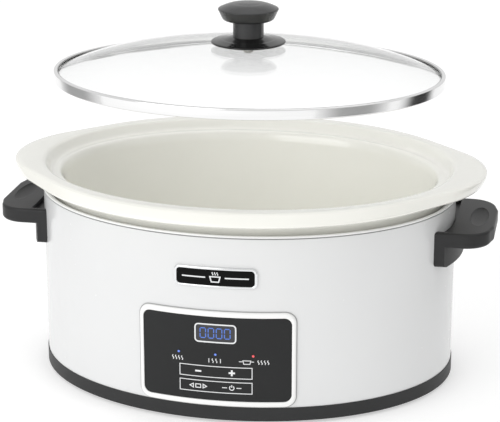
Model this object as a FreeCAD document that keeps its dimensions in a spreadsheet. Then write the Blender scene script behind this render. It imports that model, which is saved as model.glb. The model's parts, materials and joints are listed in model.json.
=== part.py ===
"""Oval slow cooker, built as a parametric document of separate pieces.

Frame: millimetres, +Z up, origin on the surface it stands on, under the middle of the body.
+X runs along the long axis, the control panel faces -Y, and the lid is held above the crock.
"""
import FreeCAD, Part
import math
import os
import Sketcher
from FreeCAD import Placement, Rotation, Vector

DRIVING = {
    # body oval and the levels of the housing
    "body_half_length": 180.0,
    "body_half_width": 142.0,
    "foot_height": 3.0,
    "foot_radius": 9.0,
    "floor_thickness": 2.5,
    "base_wall": 3.0,
    "base_top": 14.85,
    "shell_inset": 0.57,
    "shell_thickness": 1.0,
    "shell_top": 159.7,
    "rim_ring_bottom": 160.0,
    "rim_ring_top": 162.3,
    # heating well
    "well_floor": 30.0,
    "well_thickness": 1.0,
    "heater_bottom": 45.0,
    "heater_top": 80.0,
    "heater_thickness": 1.5,
    # control panel
    "panel_half_length": 61.7,
    "panel_bottom": 20.4,
    "panel_top": 93.4,
    "panel_corner": 5.0,
    "bezel_width": 3.3,
    "bezel_height": 4.6,
    "bezel_stand": 2.0,
    "fascia_stand": 1.0,
    "fascia_depth": 1.5,
    "window_half_length": 16.2,
    "window_bottom": 72.0,
    "window_top": 86.1,
    "lamp_spacing": 30.9,
    "lamp_height": 60.7,
    "lamp_radius": 1.6,
    "key_bar_half_length": 29.75,
    "key_height": 9.0,
    "upper_key_centre": 45.4,
    "lower_key_centre": 32.3,
    "key_clearance": 0.35,
    "board_face": 134.5,
    "board_thickness": 1.6,
    "board_half_length": 50.0,
    "board_bottom": 26.0,
    "board_top": 90.0,
    # name badge, left blank
    "badge_half_length": 34.4,
    "badge_bottom": 118.1,
    "badge_top": 135.7,
    "badge_frame_width": 1.9,
    # side handles
    "handle_half_width": 52.0,
    "handle_reach": 214.5,
    "handle_top": 145.5,
    "handle_slab": 13.0,
    "handle_plate_bottom": 115.0,
    "handle_plate_stand": 7.5,
    "handle_corner": 22.6,
    # stoneware crock
    "crock_bottom": 31.4,
    "crock_floor": 38.4,
    "flange_bottom": 175.7,
    "flange_top": 185.0,
    "seat_level": 176.0,
    "ear_reach": 205.8,
    # lid, shown lifted above its seat
    "lid_half_length": 167.7,
    "lid_half_width": 133.0,
    "lid_bottom": 255.4,
    "lid_rim_height": 9.3,
    "lid_rim_depth": 3.4,
    "lid_rim_sheet": 1.0,
    "glass_thickness": 4.0,
    "glass_rise": 24.9,
    "skirt_radius": 32.0,
    "skirt_bottom": 288.2,
    "skirt_top": 293.2,
    "stem_radius": 13.1,
    "cap_radius": 25.8,
    "cap_low": 307.8,
    "cap_rim": 318.2,
    "cap_top": 323.0,
}

SHEET_NAME = "Sizes"
GAP = 0.3          # running gap between faces that move apart
OVERCUT = 2.0      # how far a cutting tool runs past the face it opens

doc = FreeCAD.newDocument("slow_cooker")
sheet = doc.addObject("Spreadsheet::Sheet", SHEET_NAME)
for row, (alias, number) in enumerate(DRIVING.items(), start=1):
    sheet.set(f"A{row}", alias)
    sheet.set(f"B{row}", str(number))
    sheet.setAlias(f"B{row}", alias)
doc.recompute()


class Size:
    """A length that knows its value and the spreadsheet expression it comes from."""

    def __init__(self, value, text):
        self.value = value
        self.text = text

    def __add__(self, other):
        other = as_size(other)
        return Size(self.value + other.value, f"({self.text} + {other.text})")

    def __sub__(self, other):
        other = as_size(other)
        return Size(self.value - other.value, f"({self.text} - {other.text})")

    def __mul__(self, factor):
        return Size(self.value * factor, f"({self.text} * {factor})")

    def __neg__(self):
        return Size(-self.value, f"(-1 * {self.text})")


def as_size(number):
    if isinstance(number, Size):
        return number
    return Size(float(number), repr(float(number)))


def size(alias):
    return Size(DRIVING[alias], f"{SHEET_NAME}.{alias}")


def bind(item, path, length):
    item.setExpression(path, as_size(length).text)


LENGTH = size("body_half_length")
WIDTH = size("body_half_width")
FRONT_SPAN = (-WIDTH - 20, -WIDTH + 40)    # from well before the front wall to well behind it
PANEL_SPAN = (-WIDTH - 20, -WIDTH + 12)    # the same, stopping short of the control board
nodes = {}


def keep(name, item):
    """Give the finished piece its own label, which is also its file's name."""
    item.Label = name
    nodes[name] = item
    return item


# ---------------------------------------------------------------- primitives and booleans

def move(item, x=None, y=None, z=None):
    for axis, place in (("x", x), ("y", y), ("z", z)):
        if place is not None:
            bind(item, f"Placement.Base.{axis}", place)
    return item


def block(name, x, y, z):
    """A box between two limits on each axis, each limit a Size or a number."""
    box = doc.addObject("Part::Box", name)
    for prop, (low, high) in (("Length", x), ("Width", y), ("Height", z)):
        bind(box, prop, as_size(high) - low)
    return move(box, x[0], y[0], z[0])


AXES = {
    "x": Rotation(Vector(0, 1, 0), 90),
    "y": Rotation(Vector(1, 0, 0), -90),
    "z": Rotation(),
}


def rod(name, radius, start, length, axis="z"):
    """A cylinder that starts at a point and runs along +X, +Y or +Z."""
    item = doc.addObject("Part::Cylinder", name)
    bind(item, "Radius", radius)
    bind(item, "Height", length)
    item.Placement = Placement(Vector(), AXES[axis])
    return move(item, *start)


def cut(name, base, *tools):
    for number, tool in enumerate(tools, start=1):
        item = doc.addObject("Part::Cut", f"{name}_cut{number}")
        item.Base = base
        item.Tool = tool
        base = item
    return base


def fuse(name, *parts):
    item = doc.addObject("Part::MultiFuse", name)
    item.Shapes = list(parts)
    return item


def common(name, first, second):
    item = doc.addObject("Part::Common", name)
    item.Base = first
    item.Tool = second
    return item


def group(name, *parts):
    item = doc.addObject("Part::Compound", name)
    item.Links = list(parts)
    return item


def mirrored(name, source, normal):
    item = doc.addObject("Part::Mirroring", name)
    item.Source = source
    item.Normal = normal
    return item


ACROSS_LENGTH = Vector(1, 0, 0)
ACROSS_WIDTH = Vector(0, 1, 0)


def four_corners(name, source):
    """The piece and its three mirror images about the body's two middle planes."""
    right_rear = mirrored(name + "_rear", source, ACROSS_WIDTH)
    left_front = mirrored(name + "_left", source, ACROSS_LENGTH)
    left_rear = mirrored(name + "_left_rear", right_rear, ACROSS_LENGTH)
    return group(name, source, right_rear, left_front, left_rear)


def edges_along(item, direction):
    doc.recompute()
    picked = []
    for number, edge in enumerate(item.Shape.Edges, start=1):
        run = edge.Vertexes[-1].Point - edge.Vertexes[0].Point
        if run.Length > 0 and abs(abs(run.normalize() * direction) - 1) < 1e-6:
            picked.append(number)
    return picked


def rounded(name, item, edge_numbers, radius):
    fillet = doc.addObject("Part::Fillet", name)
    fillet.Base = item
    fillet.Edges = [(number, radius, radius) for number in edge_numbers]
    return fillet


# ---------------------------------------------------------------- ovals

def oval(name, half_length, half_width, height):
    wire = doc.addObject("Part::Ellipse", name)
    bind(wire, "MajorRadius", half_length)
    bind(wire, "MinorRadius", half_width)
    return move(wire, z=height)


def oval_prism(name, offset, low, high, half_length=LENGTH, half_width=WIDTH):
    """An upright oval block, its outline `offset` outside the named oval."""
    solid = doc.addObject("Part::Extrusion", name)
    solid.Base = oval(name + "_oval", half_length + offset, half_width + offset, low)
    solid.DirMode = "Custom"
    solid.Dir = Vector(0, 0, 1)
    solid.Solid = True
    bind(solid, "LengthFwd", as_size(high) - low)
    return solid


def oval_ring(name, outer, inner, low, high, half_length=LENGTH, half_width=WIDTH):
    wall = oval_prism(name + "_outer", outer, low, high, half_length, half_width)
    hollow = oval_prism(name + "_inner", inner, as_size(low) - OVERCUT, as_size(high) + OVERCUT,
                        half_length, half_width)
    return cut(name, wall, hollow)


def oval_stack(name, levels, half_length=LENGTH, half_width=WIDTH):
    """A solid through ovals, each level an (offset, height) pair from the bottom up."""
    solid = doc.addObject("Part::Loft", name)
    solid.Sections = [
        oval(f"{name}_level{number}", half_length + offset, half_width + offset, height)
        for number, (offset, height) in enumerate(levels, start=1)
    ]
    solid.Solid = True
    solid.Ruled = True
    return solid


def front_plate(name, outer, inner, x, z, corner=0.0):
    """A curved plate on the body's front wall, with a rounded rectangular outline."""
    skin = oval_ring(name + "_skin", outer, inner, as_size(z[0]) - OVERCUT, as_size(z[1]) + OVERCUT)
    outline = block(name + "_outline", x, FRONT_SPAN, z)
    if corner:
        outline = rounded(name + "_corners", outline, edges_along(outline, Vector(0, 1, 0)), corner)
    return common(name, skin, outline)


# ---------------------------------------------------------------- sketched bodies

def arc_middle(start, end, radius):
    """The middle of the arc from start to end; a positive radius bulges to its right."""
    chord = end - start
    half = chord.Length / 2
    rise = abs(radius) - math.sqrt(radius * radius - half * half)
    side = Vector(chord.y, -chord.x, 0).normalize()
    return (start + end) / 2 + side * math.copysign(rise, radius)


def sketch(body, plane, corners, height=0.0):
    """A closed outline whose corners are bound to the sheet.

    Each corner is (x, y) or (x, y, radius), where radius bends the edge to the next corner.
    """
    item = body.newObject("Sketcher::SketchObject", body.Name + "_sketch")
    support = [face for face in body.Origin.OriginFeatures if face.Role == plane]
    item.AttachmentSupport = [(support[0], "")]
    item.MapMode = "FlatFace"
    item.setExpression("AttachmentOffset.Base.z", as_size(height).text)
    points = [Vector(as_size(c[0]).value, as_size(c[1]).value, 0) for c in corners]
    for number, corner in enumerate(corners):
        start = points[number]
        end = points[(number + 1) % len(points)]
        if len(corner) == 3:
            middle = arc_middle(start, end, corner[2])
            first, last = (start, end) if corner[2] > 0 else (end, start)
            item.addGeometry(Part.Arc(first, middle, last))
        else:
            item.addGeometry(Part.LineSegment(start, end))
    for number, corner in enumerate(corners):
        here = end_at(item, number, points[number])
        before = (number - 1) % len(corners)
        there = end_at(item, before, points[number])
        item.addConstraint(Sketcher.Constraint("Coincident", before, there, number, here))
        hold(item, "DistanceX", number, here, as_size(corner[0]), V_AXIS)
        hold(item, "DistanceY", number, here, as_size(corner[1]), H_AXIS)
        if len(corner) == 3:
            item.addConstraint(Sketcher.Constraint("Radius", number, abs(corner[2])))
    return item


H_AXIS = -1
V_AXIS = -2


def end_at(item, number, point):
    """Which end of a sketch edge, 1 or 2, lies on the point."""
    edge = item.Geometry[number]
    return 1 if (edge.StartPoint - point).Length < (edge.EndPoint - point).Length else 2


def hold(item, kind, number, end, length, axis):
    """Hold one end of an edge on an axis, or at a sheet distance from it."""
    if abs(length.value) < 1e-9:
        item.addConstraint(Sketcher.Constraint("PointOnObject", number, end, axis))
        return
    index = item.addConstraint(Sketcher.Constraint(kind, -1, 1, number, end, length.value))
    item.setExpression(f"Constraints[{index}]", length.text)


def new_body(name):
    return doc.addObject("PartDesign::Body", name)


def revolved(name, corners):
    """A turned piece: its half section on the XZ plane, spun about +Z."""
    body = new_body(name)
    turn = body.newObject("PartDesign::Revolution", name + "_turn")
    turn.Profile = sketch(body, "XZ_Plane", corners)
    turn.ReferenceAxis = (turn.Profile[0], ["V_Axis"])
    turn.Angle = 360
    return body


def padded(name, corners, low, high):
    """A piece padded up from a sketch on the XY plane."""
    body = new_body(name)
    pad = body.newObject("PartDesign::Pad", name + "_pad")
    pad.Profile = sketch(body, "XY_Plane", corners, low)
    bind(pad, "Length", as_size(high) - low)
    return body


def dressed(body, kind, radius, wanted):
    """Fillet or chamfer the edges of a body for which wanted(edge) is true."""
    doc.recompute()
    tip = body.Tip
    names = [f"Edge{n}" for n, edge in enumerate(tip.Shape.Edges, start=1) if wanted(edge)]
    feature = body.newObject(f"PartDesign::{kind}", f"{body.Name}_{kind}")
    feature.Base = (tip, names)
    if kind == "Fillet":
        bind(feature, "Radius", radius)
    else:
        bind(feature, "Size", radius)
    return body


def at_height(height):
    return lambda edge: all(abs(v.Point.z - height) < 1e-6 for v in edge.Vertexes)


# ---------------------------------------------------------------- base, feet and shell

FOOT_X = 115.0
FOOT_Y = 78.0
PLUG_RADIUS = 3.0
FLOOR_LOW = size("foot_height")
FLOOR_HIGH = FLOOR_LOW + size("floor_thickness")
SHELL_OUT = -size("shell_inset")
SHELL_IN = SHELL_OUT - size("shell_thickness")


def make_feet():
    foot = revolved("foot", [
        (0, 0), (size("foot_radius") - 1, 0), (size("foot_radius"), 1),
        (size("foot_radius"), FLOOR_LOW), (PLUG_RADIUS, FLOOR_LOW),
        (PLUG_RADIUS, FLOOR_HIGH + 0.1), (PLUG_RADIUS + 0.7, FLOOR_HIGH + 0.5),
        (PLUG_RADIUS - 0.5, FLOOR_HIGH + 2.5), (0, FLOOR_HIGH + 2.5),
    ])
    move(foot, FOOT_X, FOOT_Y)
    keep("rubber_feet", four_corners("feet", foot))


BOSS_X = 131.0
BOSS_Y = 85.5
BOSS_RADIUS = 4.5
SCREW_RADIUS = 1.7
BOARD_PLACES = [(x, y) for x in (38.0, 102.0) for y in (-37.0, 27.0)]
BOARD_LEVEL = 9.5
BOARD_SCREW_BORE = 1.5
CENTRE_POCKET = 11.0
NUT_LEVEL = 9.0


def make_base_pan():
    wall = oval_ring("pan_wall", 0.05, as_size(0.05) - size("base_wall"), FLOOR_LOW, size("base_top"))
    floor = oval_prism("pan_floor", -2.0, FLOOR_LOW, FLOOR_HIGH)
    root = FLOOR_LOW + 1
    boss = rod("pan_boss", BOSS_RADIUS, (BOSS_X, BOSS_Y, root), size("base_top") - root)
    island = rod("pan_island", CENTRE_POCKET + 3, (0, 0, root), as_size(NUT_LEVEL + 2.5) - root)
    stands = [rod(f"board_stand_{n}", 3.2, (x, y, root), as_size(BOARD_LEVEL) - root)
              for n, (x, y) in enumerate(BOARD_PLACES, start=1)]
    solid = fuse("pan_solid", wall, floor, four_corners("pan_bosses", boss), island, *stands)
    screw_hole = rod("pan_screw_hole", SCREW_RADIUS + 0.2, (BOSS_X, BOSS_Y, 0), 30)
    head_hole = rod("pan_head_hole", 3.9, (BOSS_X, BOSS_Y, 0), FLOOR_LOW + 3)
    foot_hole = rod("pan_foot_hole", PLUG_RADIUS + 0.1, (FOOT_X, FOOT_Y, 0), 10)
    pocket = rod("pan_pocket", CENTRE_POCKET, (0, 0, 0), NUT_LEVEL)
    stud_hole = rod("pan_stud_hole", 3.2, (0, 0, 0), 30)
    stand_holes = [rod(f"board_stand_hole_{n}", BOARD_SCREW_BORE, (x, y, BOARD_LEVEL - 4.5), 10)
                   for n, (x, y) in enumerate(BOARD_PLACES, start=1)]
    pan = cut("base_pan", solid, four_corners("pan_screw_holes", fuse("pan_bore", screw_hole, head_hole)),
              four_corners("pan_foot_holes", foot_hole), pocket, stud_hole, *stand_holes)
    keep("base_pan", pan)


def make_base_screws():
    """Pan-head screws that hold the base pan up to the shell's turned-in lip."""
    head = FLOOR_LOW + 0.6
    screw = revolved("base_screw", [
        (0, head), (3.4, head), (3.4, head + 2.4), (SCREW_RADIUS, head + 2.4),
        (SCREW_RADIUS, 18.0), (0, 18.8),
    ])
    move(screw, BOSS_X, BOSS_Y)
    keep("base_screws", four_corners("base_screw_set", screw))


HANDLE_SCREW_Y = 32.0
HANDLE_SCREW_Z = 125.0
GLAND_HEIGHT = 34.0
GLAND_BORE = 8.2


def wall_normal(y, offset):
    """The point at height 0 on the right end of an offset oval, and its outward direction in degrees."""
    a = DRIVING["body_half_length"] + offset
    b = DRIVING["body_half_width"] + offset
    x = a * math.sqrt(1 - (y / b) ** 2)
    return x, math.degrees(math.atan2(y / b ** 2, x / a ** 2))


def pointing_out(item, y, offset, height):
    """Lay a piece that was made along +Z along the shell's outward normal."""
    x, angle = wall_normal(y, offset)
    item.Placement = Placement(Vector(x, y, height), Rotation(Vector(0, 0, 1), angle) * AXES["x"])
    return item


def screw_slots(name, half):
    """Square holes for the handle screws, each pair cut through both ends of the wall at once."""
    slope_shift = 1.4
    middle = HANDLE_SCREW_Y + slope_shift
    return [block(f"{name}_{n}", (-LENGTH, LENGTH), (y - half, y + half),
                  (HANDLE_SCREW_Z - half, HANDLE_SCREW_Z + half))
            for n, y in enumerate((middle, -middle), start=1)]


def make_outer_shell():
    wall = oval_ring("shell_wall", SHELL_OUT, SHELL_IN, size("base_top"), size("shell_top"))
    lip = oval_ring("shell_lip", SHELL_OUT - 0.2, -15.0, size("base_top"), size("base_top") + 1)
    panel_hole = panel_opening("shell_panel_hole", 4.5)
    slots = screw_slots("shell_handle_slots", 2.4)
    gland_hole = rod("shell_gland_hole", GLAND_BORE, (0, 120, GLAND_HEIGHT), 40, "y")
    lip_hole = rod("shell_lip_hole", SCREW_RADIUS + 0.1, (BOSS_X, BOSS_Y, 10), 10)
    shell = cut("outer_shell", fuse("shell_solid", wall, lip), panel_hole, *slots, gland_hole,
                four_corners("shell_lip_holes", lip_hole))
    keep("outer_shell", shell)


def panel_opening(name, inset):
    """The opening in the shell behind the fascia."""
    half = size("panel_half_length") - inset
    return block(name, (-half, half), FRONT_SPAN, (size("panel_bottom") + inset, size("panel_top") - inset))


def make_rim_ring():
    ring = oval_ring("rim_ring", SHELL_OUT + 0.35, -4.8, size("rim_ring_bottom"), size("rim_ring_top"))
    keep("rim_ring", ring)


# ---------------------------------------------------------------- heating well and heater

WELL_TAPER = 15.5 / 115.0      # how much wider each side gets per millimetre of height
WELL_TOP = 160.0
WELL_TOP_INSET = -6.0


def well_inset(height):
    """The offset of the well's inner face from the body oval at a height."""
    return WELL_TOP_INSET - (WELL_TOP - height) * WELL_TAPER


def make_liner():
    sheet_metal = size("well_thickness")
    floor = size("well_floor")
    turn = 45.0
    outer = oval_stack("liner_outer", [
        (as_size(-31.0) + sheet_metal, floor), (as_size(-25.0) + sheet_metal, floor + 6),
        (as_size(well_inset(turn)) + sheet_metal, turn), (as_size(WELL_TOP_INSET) + sheet_metal, WELL_TOP),
    ])
    inner = oval_stack("liner_inner", [
        (-31.0, floor + sheet_metal), (-25.0, floor + sheet_metal + 5.5),
        (well_inset(turn), turn), (well_inset(WELL_TOP + 5), WELL_TOP + 5),
    ])
    flange = oval_ring("liner_flange", SHELL_IN - 0.1, -5.5, WELL_TOP - 1, WELL_TOP)
    stud = rod("liner_stud_weld", 7.0, (0, 0, floor - 1.5), 1.8)
    liner = cut("liner", fuse("liner_solid", outer, flange, stud), inner)
    keep("liner", liner)


def on_well(name, low, high, thickness, lift=0.0):
    """A band wrapped round the outside of the tapered well, split at the rear."""
    outside = [(as_size(well_inset(z) + lift + thickness) + size("well_thickness"), z) for z in (low, high)]
    inside = [(as_size(well_inset(z) + lift) + size("well_thickness"), z)
              for z in (low - OVERCUT, high + OVERCUT)]
    band = cut(name + "_band", oval_stack(name + "_out", outside), oval_stack(name + "_in", inside))
    return band


def make_heater():
    low = DRIVING["heater_bottom"]
    high = DRIVING["heater_top"]
    thickness = DRIVING["heater_thickness"]
    split = block("heater_split", (-7, 7), (90, 150), (low - 5, high + 5))
    keep("heater_band", cut("heater", on_well("heater", low, high, thickness), split))
    strap_low = (low + high) / 2 - 4
    strap_high = (low + high) / 2 + 4
    gap = block("strap_split", (-4, 4), (90, 150), (strap_low - 5, strap_high + 5))
    strap = cut("strap", on_well("strap", strap_low, strap_high, 0.6, thickness), gap)
    face = DRIVING["body_half_width"] + well_inset((low + high) / 2) + 1 + thickness
    ears = [block(f"strap_ear_{n}", (x, x + 1), (face - 0.4, face + 8), (strap_low, strap_high))
            for n, x in enumerate((-5.0, 4.0), start=1)]
    hole = rod("strap_ear_hole", 1.7, (-10, face + 4.5, (low + high) / 2), 20, "x")
    keep("heater_strap", cut("heater_strap", fuse("strap_solid", strap, *ears), hole))
    bolt = revolved("strap_bolt", [
        (0, 0), (1.5, 0), (1.5, 15), (2.9, 15), (2.9, 17.2), (0, 17.2),
    ])
    bolt.Placement = Placement(Vector(-10, face + 4.5, (low + high) / 2), AXES["x"])
    keep("strap_bolt", bolt)


def make_well_fixings():
    floor = DRIVING["well_floor"]
    stud = revolved("stud_turn", [
        (0, 4.6), (2.4, 4.6), (2.9, 5.2), (2.9, floor - 1.5), (0, floor - 1.5),
    ])
    keep("centre_stud", stud)
    flats = [(5.5 * math.cos(math.radians(60 * n)), 5.5 * math.sin(math.radians(60 * n))) for n in range(6)]
    nut = padded("nut_pad", flats, 5.0, NUT_LEVEL)
    bore = rod("nut_bore", 2.9, (0, 0, 0), 20)
    keep("centre_nut", cut("nut", nut, bore))


def make_sensors():
    floor = DRIVING["well_floor"]
    fuse_body = rod("thermal_fuse", 2.0, (34, 48, floor - 2.0), 11, "x")
    leads = rod("fuse_leads", 0.5, (26, 48, floor - 2.0), 27, "x")
    keep("thermal_fuse", fuse("fuse_piece", fuse_body, leads))
    clip = block("fuse_clip_strip", (36, 43), (42, 54), (floor - 4.6, floor))
    inside = block("fuse_clip_hollow", (30, 50), (44.5, 51.5), (floor - 4.0, floor + 1))
    keep("fuse_clip", cut("fuse_clip", clip, inside))
    cup = revolved("sensor_turn", [
        (0, floor - 6), (6.0, floor - 6), (6.0, floor - 1), (5.0, floor), (0, floor),
    ])
    move(cup, -60, 0)
    keep("temperature_sensor", cup)
    strip = block("bracket_strip", (-84, -36), (-6, 6), (floor - 7, floor - 6))
    legs = [block(f"bracket_leg_{n}", (x, x + 1), (-6, 6), (floor - 7, floor))
            for n, x in enumerate((-84.0, -37.0), start=1)]
    keep("sensor_bracket", fuse("sensor_bracket", strip, *legs))


def make_power_board():
    top = BOARD_LEVEL + DRIVING["board_thickness"]
    board = block("power_board_plate", (32, 108), (-43, 33), (BOARD_LEVEL, top))
    bores = [rod(f"power_bore_{n}", 1.6, (x, y, 0), 30) for n, (x, y) in enumerate(BOARD_PLACES, start=1)]
    keep("power_board", cut("power_board", board, *bores))
    screws = []
    for n, (x, y) in enumerate(BOARD_PLACES, start=1):
        screw = revolved(f"power_screw_{n}", [
            (0, BOARD_LEVEL - 4), (1.4, BOARD_LEVEL - 3), (1.4, top), (2.8, top), (2.8, top + 1.8),
            (0, top + 1.8),
        ])
        screws.append(move(screw, x, y))
    keep("power_board_screws", group("power_screws", *screws))
    for name, x, y, high, soften in (
            ("relay", (48, 67), (-38, -22.5), top + 15.5, 0.8),
            ("transformer", (74, 100), (-20, 12), top + 16.0, 1.2),
            ("terminal_block", (46, 66), (14, 26), top + 9.0, 0.6)):
        piece = block(name + "_block", x, y, (top, high))
        keep(name, rounded(name, piece, edges_along(piece, Vector(0, 0, 1)), soften))


# ---------------------------------------------------------------- control panel

PANEL_X = size("panel_half_length")
PANEL_Z = (size("panel_bottom"), size("panel_top"))
FASCIA_OUT = size("fascia_stand")
FASCIA_IN = FASCIA_OUT - size("fascia_depth")
BAR_X = size("key_bar_half_length")
HALF_KEY = size("key_height") * 0.5
CLEAR = size("key_clearance")
SWITCH_FACE = -DRIVING["board_face"]
KEY_FACE = FASCIA_OUT + 0.25
BOARD_SCREWS = [(x, z) for x in (-45.0, 45.0) for z in (30.0, 86.0)]
POST_RADIUS = 2.6
POST_BORE = 1.3


def lamp_places():
    return [("high", -size("lamp_spacing")), ("low", as_size(0)), ("warm", size("lamp_spacing"))]


def make_bezel():
    wide = PANEL_X + size("bezel_width")
    frame = front_plate("bezel_plate", size("bezel_stand"), SHELL_OUT, (-wide, wide),
                        (PANEL_Z[0] - size("bezel_height"), PANEL_Z[1] + size("bezel_height")), 8.0)
    hole = block("bezel_hole", (-PANEL_X, PANEL_X), FRONT_SPAN, PANEL_Z)
    window = rounded("bezel_window", hole, edges_along(hole, Vector(0, 1, 0)), DRIVING["panel_corner"])
    keep("control_bezel", cut("control_bezel", frame, window))


def through_panel(name, x, z):
    return block(name, x, PANEL_SPAN, z)


def make_fascia():
    plate = front_plate("fascia_plate", FASCIA_OUT, FASCIA_IN, (-PANEL_X + 0.1, PANEL_X - 0.1),
                        (PANEL_Z[0] + 0.1, PANEL_Z[1] - 0.1), DRIVING["panel_corner"] - 0.1)
    display = through_panel("fascia_display_hole",
                            (-size("window_half_length"), size("window_half_length")),
                            (size("window_bottom"), size("window_top")))
    lamps = [rod(f"fascia_lamp_hole_{name}", size("lamp_radius"), (x, -WIDTH - 10, size("lamp_height")),
                 30, "y") for name, x in lamp_places()]
    bars = [through_panel(f"fascia_key_hole_{level}", (-BAR_X, BAR_X),
                          (size(f"{level}_key_centre") - HALF_KEY, size(f"{level}_key_centre") + HALF_KEY))
            for level in ("upper", "lower")]
    posts = fuse("fascia_posts", *[
        rod(f"fascia_post_{n}", POST_RADIUS, (x, SWITCH_FACE - front_depth(x), z), front_depth(x), "y")
        for n, (x, z) in enumerate(BOARD_SCREWS, start=1)
    ])
    bores = [rod(f"fascia_post_bore_{n}", POST_BORE, (x, SWITCH_FACE - 1.8, z), 5.0, "y")
             for n, (x, z) in enumerate(BOARD_SCREWS, start=1)]
    keep("fascia", cut("fascia", fuse("fascia_solid", plate, posts), display, *lamps, *bars, *bores))


def front_depth(x):
    """How far the middle of the fascia stands in front of the control board at x."""
    a = DRIVING["body_half_length"]
    b = DRIVING["body_half_width"]
    return b * math.sqrt(1 - (x / a) ** 2) - DRIVING["board_face"]


def make_display():
    half = size("window_half_length")
    z = (size("window_bottom"), size("window_top"))
    keep("display_window", front_plate("display_window", FASCIA_OUT - 0.05, FASCIA_IN,
                                       (-half + 0.1, half - 0.1), (z[0] + 0.1, z[1] - 0.1)))
    line = 1.1
    outer = front_plate("display_edge", FASCIA_OUT + 0.3, FASCIA_OUT, (-half - line, half + line),
                        (z[0] - line, z[1] + line), 1.0)
    keep("display_frame", cut("display_frame", outer, through_panel("display_frame_hole", (-half, half), z)))
    module = block("display_block", (-half + 1, half - 1), (-size("board_face") - 5.8, -size("board_face")),
                   (z[0] + 1, z[1] - 1))
    keep("display_module", rounded("display_module", module, edges_along(module, Vector(0, 1, 0)), 0.6))


def make_lamps():
    for name, x in lamp_places():
        length = front_depth(x.value) + DRIVING["fascia_stand"] + 0.1
        pipe = revolved(f"light_pipe_{name}", [
            (0, 1.6), (size("lamp_radius") - 0.1, 1.6), (size("lamp_radius") - 0.1, length - 0.5),
            (size("lamp_radius") - 0.6, length), (0, length),
        ])
        pipe.Placement = Placement(Vector(x.value, SWITCH_FACE, DRIVING["lamp_height"]),
                                   Rotation(Vector(1, 0, 0), 90))
        keep(f"light_pipe_{name}", pipe)
    chips = [block(f"lamp_chip_{name}", (x - 1.0, x + 1.0), (SWITCH_FACE - 1.5, SWITCH_FACE),
                   (size("lamp_height") - 1.6, size("lamp_height") + 1.6)) for name, x in lamp_places()]
    keep("lamp_chips", group("lamp_chips", *chips))


KEYS = (("minus", -1, "upper"), ("plus", 1, "upper"), ("select", -1, "lower"), ("power", 1, "lower"))
KEY_CENTRE = 15.0
SWITCH_HEIGHT = 4.4


def make_keys():
    """Four keys, two in each bar, with a flange behind the fascia and a stem over a switch."""
    for name, side, level in KEYS:
        centre = size(f"{level}_key_centre")
        far = BAR_X - CLEAR
        span = (CLEAR, far) if side > 0 else (-far, -CLEAR)
        wide = (CLEAR, BAR_X + 0.6) if side > 0 else (-BAR_X - 0.6, -CLEAR)
        high = HALF_KEY - CLEAR
        back = FASCIA_IN - 1.0
        cap = front_plate(f"key_{name}_cap", KEY_FACE, back, span, (centre - high, centre + high), 0.8)
        flange = front_plate(f"key_{name}_flange", FASCIA_IN - GAP, back, wide,
                             (centre - HALF_KEY - 0.5, centre + HALF_KEY + 0.5))
        stem_front = SWITCH_FACE - SWITCH_HEIGHT - 1.4
        stem = rod(f"key_{name}_stem", 2.0, (side * KEY_CENTRE, stem_front, centre), 0.8, "y")
        keep(f"key_{name}", fuse(f"key_{name}", cap, flange, stem))


def make_control_board():
    y = (SWITCH_FACE, as_size(SWITCH_FACE) + size("board_thickness"))
    plate = block("control_plate", (-size("board_half_length"), size("board_half_length")), y,
                  (size("board_bottom"), size("board_top")))
    bores = [rod(f"control_bore_{n}", 1.5, (x, SWITCH_FACE - 5, z), 20, "y")
             for n, (x, z) in enumerate(BOARD_SCREWS, start=1)]
    keep("control_board", cut("control_board", plate, *bores))
    back = SWITCH_FACE + DRIVING["board_thickness"]
    screws = []
    for n, (x, z) in enumerate(BOARD_SCREWS, start=1):
        screw = revolved(f"control_screw_{n}", [
            (0, -0.8), (2.2, -0.8), (2.2, 0), (1.2, 0), (1.2, 2.0), (0, 2.6),
        ])
        screw.Placement = Placement(Vector(x, back, z), Rotation(Vector(1, 0, 0), 90))
        screws.append(screw)
    keep("control_board_screws", group("control_screws", *screws))
    switches = []
    for name, side, level in KEYS:
        x = side * KEY_CENTRE
        z = size(f"{level}_key_centre")
        case = block(f"switch_{name}_case", (x - 3, x + 3), (SWITCH_FACE - SWITCH_HEIGHT + 1, SWITCH_FACE),
                     (z - 3, z + 3))
        button = rod(f"switch_{name}_button", 1.7, (x, SWITCH_FACE - SWITCH_HEIGHT, z), 1.2, "y")
        switches.append(fuse(f"switch_{name}", case, button))
    keep("key_switches", group("key_switches", *switches))
    half = size("board_half_length") + 6
    shield = front_plate("heat_shield", -10.0, -10.5, (-half, half), (20.0, 96.0), 3.0)
    keep("heat_shield", shield)


def make_badge():
    half = size("badge_half_length")
    rim = size("badge_frame_width")
    z = (size("badge_bottom"), size("badge_top"))
    outer = front_plate("badge_edge", 1.6, SHELL_OUT, (-half, half), z, 3.4)
    inside_x = (-half + rim, half - rim)
    inside_z = (z[0] + rim, z[1] - rim)
    inside_corner = 1.8
    hole = block("badge_hole", inside_x, FRONT_SPAN, inside_z)
    inner = rounded("badge_hole_corners", hole, edges_along(hole, Vector(0, 1, 0)), inside_corner)
    keep("badge_frame", cut("badge_frame", outer, inner))
    keep("badge_plate", front_plate("badge_plate", 0.7, SHELL_OUT, inside_x, inside_z, inside_corner))


def make_gland():
    wall = DRIVING["body_half_width"] - DRIVING["shell_inset"]
    gland = revolved("gland_turn", [
        (3.6, -6), (7.6, -6), (8.4, -2.4), (8.0, -1.3), (8.0, 0.2), (10.5, 0.2), (10.5, 1.8), (9.3, 3.2),
        (3.6, 3.2),
    ])
    gland.Placement = Placement(Vector(0, wall, GLAND_HEIGHT), Rotation(Vector(1, 0, 0), -90))
    keep("cord_gland", gland)


# ---------------------------------------------------------------- side handles

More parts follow.
